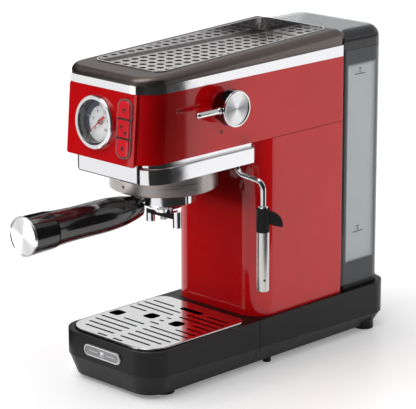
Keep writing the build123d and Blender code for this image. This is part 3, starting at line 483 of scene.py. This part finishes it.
def on_front(origin, lean=FASCIA_LEAN):
    """Frame whose X is the machine's X and whose Z looks forward out of a leaning face."""
    return Matrix.Translation(origin) @ Matrix.Rotation(math.pi / 2 - lean, 4, "X")


def on_side(origin):
    """Frame whose X runs to the back, Y up and Z to the machine's right."""
    turn = Matrix(((0, 0, 1, 0), (1, 0, 0, 0), (0, 1, 0, 0), (0, 0, 0, 1)))
    return Matrix.Translation(origin) @ turn


# ---------------------------------------------------------------- gauge dial

PRINT = 0.12 * MM
OUTWARD = Vector((0, -math.cos(FASCIA_LEAN), math.sin(FASCIA_LEAN)))


def front_point(node):
    """Middle of a node's leaning front face."""
    lowest = low(node)
    rise = middle(node)[2] - lowest[2]
    return Vector((middle(node)[0], lowest[1] + rise * math.tan(FASCIA_LEAN), lowest[2] + rise))


dial_front = front_point("gauge_dial")
SCALE_START = 225
TICK_TURN = 27
NUMBER_TURN = 2 * TICK_TURN
NUMBER_STEP = 4
NUMBER_RADIUS = 11.2
NUMBER_SIZE = 4.2
DIAL_RIM = 21.4


def dial_mark(name, outlines, material):
    """Printed mark on the dial, drawn in millimetres from its middle."""
    mesh = filled(name, [scaled(outline) for outline in outlines], PRINT, on_front(dial_front))
    return piece(name, "machine", mesh, material)


def tick(angle, inner, outer, width):
    """Outline of a short line that points to the dial's middle."""
    t = math.radians(angle)
    along, side = (math.cos(t), math.sin(t)), (-math.sin(t) * width / 2, math.cos(t) * width / 2)
    return [
        (inner * along[0] + side[0], inner * along[1] + side[1]),
        (inner * along[0] - side[0], inner * along[1] - side[1]),
        (outer * along[0] - side[0], outer * along[1] - side[1]),
        (outer * along[0] + side[0], outer * along[1] + side[1]),
    ]


def dial_number(value, degrees):
    """Printed number on the dial, centred at an angle from +X."""
    curve = bpy.data.curves.new("dial_number", "FONT")
    curve.body = str(value)
    curve.size = NUMBER_SIZE * MM
    curve.align_x = "CENTER"
    curve.align_y = "CENTER"
    curve.extrude = PRINT / 2
    text = bpy.data.objects.new("dial_number_curve", curve)
    bpy.context.scene.collection.objects.link(text)
    bpy.context.view_layer.update()
    mesh = bpy.data.meshes.new_from_object(text)
    bpy.data.objects.remove(text)
    turn = math.radians(degrees)
    radius = NUMBER_RADIUS * MM
    center = on_front(dial_front + OUTWARD * PRINT / 2)
    mesh.transform(center @ Matrix.Translation((radius * math.cos(turn), radius * math.sin(turn), 0)))
    mesh.materials.clear()
    piece(f"dial_number_{value}", "machine", mesh, INK)


dial_mark("dial_arc_blue", [sector(16.2, DIAL_RIM, 100, 168)], BLUE_INK)
dial_mark("dial_arc_line", [sector(17.4, DIAL_RIM, 171, 222)], BLUE_INK)
dial_mark("dial_red_mark", [sector(17.2, DIAL_RIM, -22, -14)], NEEDLE)
dial_mark("dial_ticks", [tick(SCALE_START - TICK_TURN * i, 14.6, 16.0, 0.5) for i in range(11)], INK)
dial_mark("dial_hub_ring", [disc(3.2), disc(2.2)], INK)
for step in range(6):
    dial_number(step * NUMBER_STEP, SCALE_START - NUMBER_TURN * step)

NEEDLE_ANGLE = 222
NEEDLE_SHAPE = [
    (-8.6, 1.5), (-8.6, -1.5), (-2.6, -0.9), (-1.9, -1.9), (1.9, -1.9), (2.6, -0.7),
    (18.6, -0.18), (18.6, 0.18), (2.6, 0.7), (1.9, 1.9), (-1.9, 1.9), (-2.6, 0.9),
]


def needle_outline():
    """Slim needle in millimetres from its pivot: a long tapered point and a broad tail."""
    turn = math.radians(NEEDLE_ANGLE)
    along, across = math.cos(turn), math.sin(turn)
    return [(x * along - y * across, x * across + y * along) for x, y in NEEDLE_SHAPE]


pivot = front_point("gauge_dial") + OUTWARD * 2.0 * MM
slim_mesh = filled("needle_slim", [scaled(needle_outline())], 0.5 * MM, on_front(pivot))
slim_needle = piece("needle_slim", "needle", slim_mesh, NEEDLE)
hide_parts("gauge_needle")
hub = filled("needle_hub", [scaled(disc(1.5))], 0.9 * MM, on_front(pivot + OUTWARD * 0.4 * MM))
piece("needle_hub", "needle", hub, SILVER)

# ---------------------------------------------------------------- printed marks, painted shade between the keys, and plaque


def cup_outlines(x, y, size):
    """Pictogram of a cup: a bowl, its handle and a saucer line."""
    bowl = [(x - 0.5 * size, y + 0.35 * size), (x + 0.5 * size, y + 0.35 * size)]
    for i in range(9):
        angle = -math.pi * i / 8
        bowl.append((x + 0.5 * size * math.cos(angle), y + 0.1 * size + 0.5 * size * math.sin(angle)))
    handle = sector(0.2 * size, 0.33 * size, -80, 80, 8)
    handle = [(hx + x + 0.5 * size, hy + y + 0.1 * size) for hx, hy in handle]
    saucer = rounded(1.3 * size, 0.16 * size, 0.06 * size, x, y - 0.62 * size, 2)
    return bowl, handle, saucer


def stamp(name, body, outlines, place, material, thick=PRINT):
    """Thin flat shape whose outlines are separate islands, given in millimetres: print, and the painted
    shade in the gaps between the keys.
    """
    made = bmesh.new()
    for outline in outlines:
        part = filled(name, [scaled(outline)], thick, place)
        made.from_mesh(part)
        bpy.data.meshes.remove(part)
    data = bpy.data.meshes.new(name)
    made.to_mesh(data)
    made.free()
    return piece(name, body, data, material)


def steam_outlines(x, y, size):
    """Pictogram of steam: a drop."""
    drop = [(x, y + 0.75 * size)]
    for i in range(11):
        angle = math.radians(35 - 250 * i / 10)
        drop.append((x + 0.45 * size * math.cos(angle), y - 0.05 * size + 0.45 * size * math.sin(angle)))
    return [drop]


def key_place(node):
    """Frame on the front face of a key."""
    return on_front(front_point(node) + OUTWARD * 0.1 * MM)


stamp("mark_one_cup", "one_cup_button", cup_outlines(0, 0, 4.2), key_place("button_one_cup"), KEY_INK)
TWO_CUPS = cup_outlines(-3.4, 2.6, 3.8) + cup_outlines(2.8, -3.0, 3.8)
stamp("mark_two_cups", "two_cups_button", TWO_CUPS, key_place("button_two_cups"), KEY_INK)
stamp("mark_steam", "steam_button", steam_outlines(0, 0, 4.4), key_place("button_steam"), KEY_INK)

frame_place = on_front(front_point("button_frame"))
GAP_OFFSETS = [
    (low(upper)[2] + high(lower)[2]) / 2 - middle("button_frame")[2]
    for upper, lower in (("button_one_cup", "button_two_cups"), ("button_two_cups", "button_steam"))
]
FRAME_WIDE = (high("button_frame")[0] - low("button_frame")[0]) / MM
# Painted shade: black strips over the frame in the narrow gaps between the keys.
stamp(
    "key_gap_shade", "machine",
    [rounded(FRAME_WIDE - 1.6, 1.5, 0.3, 0, gap / MM / math.cos(FASCIA_LEAN)) for gap in GAP_OFFSETS],
    frame_place, INK, 0.3 * MM,
)

SIDE_X = (high("head_shell")[0] - BODY_X) / MM
TANK_SIDE = (high("tank_body")[0] - BODY_X) / MM
STEAM_MARK_Y, STEAM_MARK_Z = 50, 301
CUP_MARK_Y, CUP_MARK_Z = 109, 270
stamp(
    "mark_knob_steam", "machine", steam_outlines(0, 0, 3.6),
    on_side(at(SIDE_X, STEAM_MARK_Y, STEAM_MARK_Z)), KEY_INK,
)
stamp(
    "mark_knob_cup", "machine", cup_outlines(0, 0, 3.4),
    on_side(at(SIDE_X, CUP_MARK_Y, CUP_MARK_Z)), KEY_INK,
)


LEVEL_MARK_Y = 327
LEVEL_HIGH_Z = 298
LEVEL_LOW_Z = 119


def level_mark(name, height):
    """Fill line on the tank's side, with a short tick over it."""
    lines = [rounded(17, 0.9, 0.3), rounded(1.0, 5.0, 0.3, 0, 3.4), rounded(5.0, 0.8, 0.3, 0, 6.2)]
    stamp(name, "tank", lines, on_side(at(TANK_SIDE, LEVEL_MARK_Y, height)), INK)


level_mark("tank_mark_high", LEVEL_HIGH_Z)
level_mark("tank_mark_low", LEVEL_LOW_Z)

plate_low, plate_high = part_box("housing_front_plate")
PLATE_WIDE = (plate_high[0] - plate_low[0]) / MM
PLATE_TALL = (plate_high[2] - plate_low[2]) / MM
plate_front = Vector((middle("housing_front_plate")[0], plate_low[1], middle("housing_front_plate")[2]))
outline = filled(
    "plate_outline",
    [
        scaled(rounded(PLATE_WIDE - 0.9, PLATE_TALL - 0.9, 1.8)),
        scaled(rounded(PLATE_WIDE - 2.5, PLATE_TALL - 2.5, 1.2)),
    ],
    PRINT,
    on_front(plate_front, 0.0),
)
piece("plate_outline", "machine", outline, INK)

ring_middle = middle("group_ring")
RING_R = (high("group_ring")[0] - low("group_ring")[0]) / 2
POINTER_DROP = 3.8 * MM
pointer_place = Vector((ring_middle[0], ring_middle[1] - RING_R, ring_middle[2] - POINTER_DROP))
POINTER = [(-1.9, 1.6), (0, -2.0), (1.9, 1.6)]
stamp("mark_ring", "machine", [POINTER], on_front(pointer_place, 0.0), INK)

badge_low, badge_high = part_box("badge")
BADGE_WIDE = (badge_high[0] - badge_low[0]) / MM
BADGE_TALL = (badge_high[2] - badge_low[2]) / MM
badge_front = Vector((middle("badge")[0], badge_low[1], middle("badge")[2]))
rim = filled(
    "badge_rim",
    [
        scaled(rounded(BADGE_WIDE - 1.8, BADGE_TALL - 1.8, (BADGE_TALL - 1.8) / 2 - 0.05)),
        scaled(rounded(BADGE_WIDE - 4.0, BADGE_TALL - 4.0, (BADGE_TALL - 4.0) / 2 - 0.05)),
    ],
    0.5 * MM,
    on_front(badge_front, 0.0),
)
piece("badge_rim", "tray", rim, SILVER)
stamp(
    "badge_mark", "tray",
    cup_outlines(0, 0.6, 5.0)
    + (rounded(14, 0.7, 0.3, -13, 0, 2), rounded(14, 0.7, 0.3, 13, 0, 2)),
    on_front(badge_front, 0.0), SILVER, 0.3 * MM,
)

# ---------------------------------------------------------------- camera, light and floor

CAMERA_AZIMUTH = math.radians(45.09)
CAMERA_ELEVATION = math.radians(15.38)
CAMERA_ROLL = math.radians(-0.19)
CAMERA_DISTANCE = 2.199
CAMERA_TARGET = at(58.9, 96.7, 193.65)
SKY = [
    (0.0, 0.5), (0.49, 0.5), (0.51, 0.14), (0.57, 0.2),
    (0.6, 0.8), (0.66, 0.8), (0.7, 0.5), (1.0, 0.6),
]


def add_camera():
    """Camera at the viewing angle, looking at the target."""
    back = Vector(
        (
            math.sin(CAMERA_AZIMUTH) * math.cos(CAMERA_ELEVATION),
            -math.cos(CAMERA_AZIMUTH) * math.cos(CAMERA_ELEVATION),
            math.sin(CAMERA_ELEVATION),
        )
    )
    data = bpy.data.cameras.new("camera")
    data.lens = 184.0
    data.sensor_width = 36.0
    data.clip_end = 60.0
    camera = bpy.data.objects.new("camera", data)
    bpy.context.scene.collection.objects.link(camera)
    turn = back.to_track_quat("Z", "Y").to_matrix().to_4x4()
    place = Matrix.Translation(CAMERA_TARGET + back * CAMERA_DISTANCE)
    camera.matrix_world = place @ turn @ Matrix.Rotation(CAMERA_ROLL, 4, "Z")
    bpy.context.scene.camera = camera


def add_light(name, origin, target, size, power, only=None):
    """Soft rectangular light that faces a target, and lights only some nodes where that is asked."""
    data = bpy.data.lights.new(name, "AREA")
    data.shape = "RECTANGLE"
    data.size, data.size_y = size
    data.energy = power
    light = bpy.data.objects.new(name, data)
    bpy.context.scene.collection.objects.link(light)
    away = Vector(origin) - Vector(target)
    light.matrix_world = Matrix.Translation(origin) @ away.to_track_quat("Z", "Y").to_matrix().to_4x4()
    light.visible_camera = False
    if only:
        lit = bpy.data.collections.new(name + "_receivers")
        for node in only:
            lit.objects.link(NODES[node])
        light.light_linking.receiver_collection = lit


def add_sun(name, azimuth, elevation, strength, spread):
    """Broad, even light from far away; azimuth 0 comes from the front and 90 from the right."""
    data = bpy.data.lights.new(name, "SUN")
    data.energy = strength
    data.angle = math.radians(spread)
    sun = bpy.data.objects.new(name, data)
    bpy.context.scene.collection.objects.link(sun)
    turn, rise = math.radians(azimuth), math.radians(elevation)
    back = Vector((math.sin(turn) * math.cos(rise), -math.cos(turn) * math.cos(rise), math.sin(rise)))
    sun.matrix_world = back.to_track_quat("Z", "Y").to_matrix().to_4x4()


def add_curtain(name, origin, target, width, height, seen_by="glossy"):
    """Dark curtain seen by one kind of ray, as photographers hang beside glossy things."""
    grid = bmesh.new()
    bmesh.ops.create_grid(grid, x_segments=6, y_segments=4, size=0.5)
    data = bpy.data.meshes.new(name)
    grid.to_mesh(data)
    grid.free()
    curtain = bpy.data.objects.new(name, data)
    bpy.context.scene.collection.objects.link(curtain)
    facing = (Vector(target) - Vector(origin)).to_track_quat("Z", "Y").to_matrix().to_4x4()
    size = Matrix.Diagonal((width, height, 1, 1))
    curtain.matrix_world = Matrix.Translation(origin) @ facing @ size
    for ray in ("camera", "diffuse", "glossy", "shadow", "transmission", "volume_scatter"):
        setattr(curtain, f"visible_{ray}", ray == seen_by)
    data.materials.append(CURTAIN)


def add_world():
    """Pale surroundings with a dark band above the horizon, and white where the camera looks past.

    SKY holds the brightness over the height, from 0 straight down to 1 straight up.
    """
    world = bpy.data.worlds.new("studio")
    bpy.context.scene.world = world
    world.use_nodes = True
    tree = world.node_tree
    background = tree.nodes["Background"]
    coordinates = tree.nodes.new("ShaderNodeTexCoord")
    split = tree.nodes.new("ShaderNodeSeparateXYZ")
    tree.links.new(coordinates.outputs["Generated"], split.inputs["Vector"])
    ramp = tree.nodes.new("ShaderNodeValToRGB")
    elements = ramp.color_ramp.elements
    while len(elements) < len(SKY):
        elements.new(0.5)
    for element, (position, value) in zip(elements, SKY):
        element.position = position
        element.color = (value, value, value, 1.0)
    half = tree.nodes.new("ShaderNodeMapRange")
    half.inputs["From Min"].default_value = -1.0
    tree.links.new(split.outputs["Z"], half.inputs["Value"])
    tree.links.new(half.outputs["Result"], ramp.inputs["Fac"])
    path = tree.nodes.new("ShaderNodeLightPath")
    mix = tree.nodes.new("ShaderNodeMix")
    mix.data_type = "RGBA"
    tree.links.new(path.outputs["Is Camera Ray"], mix.inputs["Factor"])
    tree.links.new(ramp.outputs["Color"], mix.inputs["A"])
    mix.inputs["B"].default_value = (1.0, 1.0, 1.0, 1.0)
    tree.links.new(mix.outputs["Result"], background.inputs["Color"])
    background.inputs["Strength"].default_value = 1.0


def add_floor():
    """Plain pale floor, larger than any view."""
    mesh = bmesh.new()
    bmesh.ops.create_grid(mesh, x_segments=4, y_segments=4, size=12.0)
    data = bpy.data.meshes.new("floor")
    mesh.to_mesh(data)
    mesh.free()
    floor = bpy.data.objects.new("floor", data)
    bpy.context.scene.collection.objects.link(floor)
    paint = Paint("floor_white", (0.92, 0.92, 0.92), roughness=0.34, emission_strength=0.2)
    paint.set("Emission Color", (1.0, 1.0, 1.0, 1.0))
    data.materials.append(paint.material)


CURTAIN = moulded("curtain", (0.01, 0.01, 0.01), 0.9)
add_camera()
add_world()
add_floor()
add_sun("overhead", -35, 62, 1.9, 60)
add_curtain("curtain_left", at(-150, -52, 500), at(0, -52, 500), 0.265, 1.1)
add_curtain("curtain_front", at(500, -1100, 600), at(500, 0, 600), 1.5, 1.3)
add_curtain("curtain_right", at(466, -180, 600), at(0, -180, 600), 1.26, 1.3)
add_curtain("flag_right", at(100, -20, 290), at(66, -20, 290), 0.17, 0.13, "diffuse")
add_curtain("flag_under", at(0, 143, 214), at(0, 163, 214), 0.15, 0.09, "diffuse")
FRONT_METALS = ("chrome_band", "housing_front_plate", "handle_end_cap", "gauge_bezel", "group_ring")
add_light("front_fill", at(-140, -170, 220), at(0, -170, 220), (0.55, 0.36), 0.62, FRONT_METALS)
bpy.context.scene.view_settings.view_transform = "Standard"
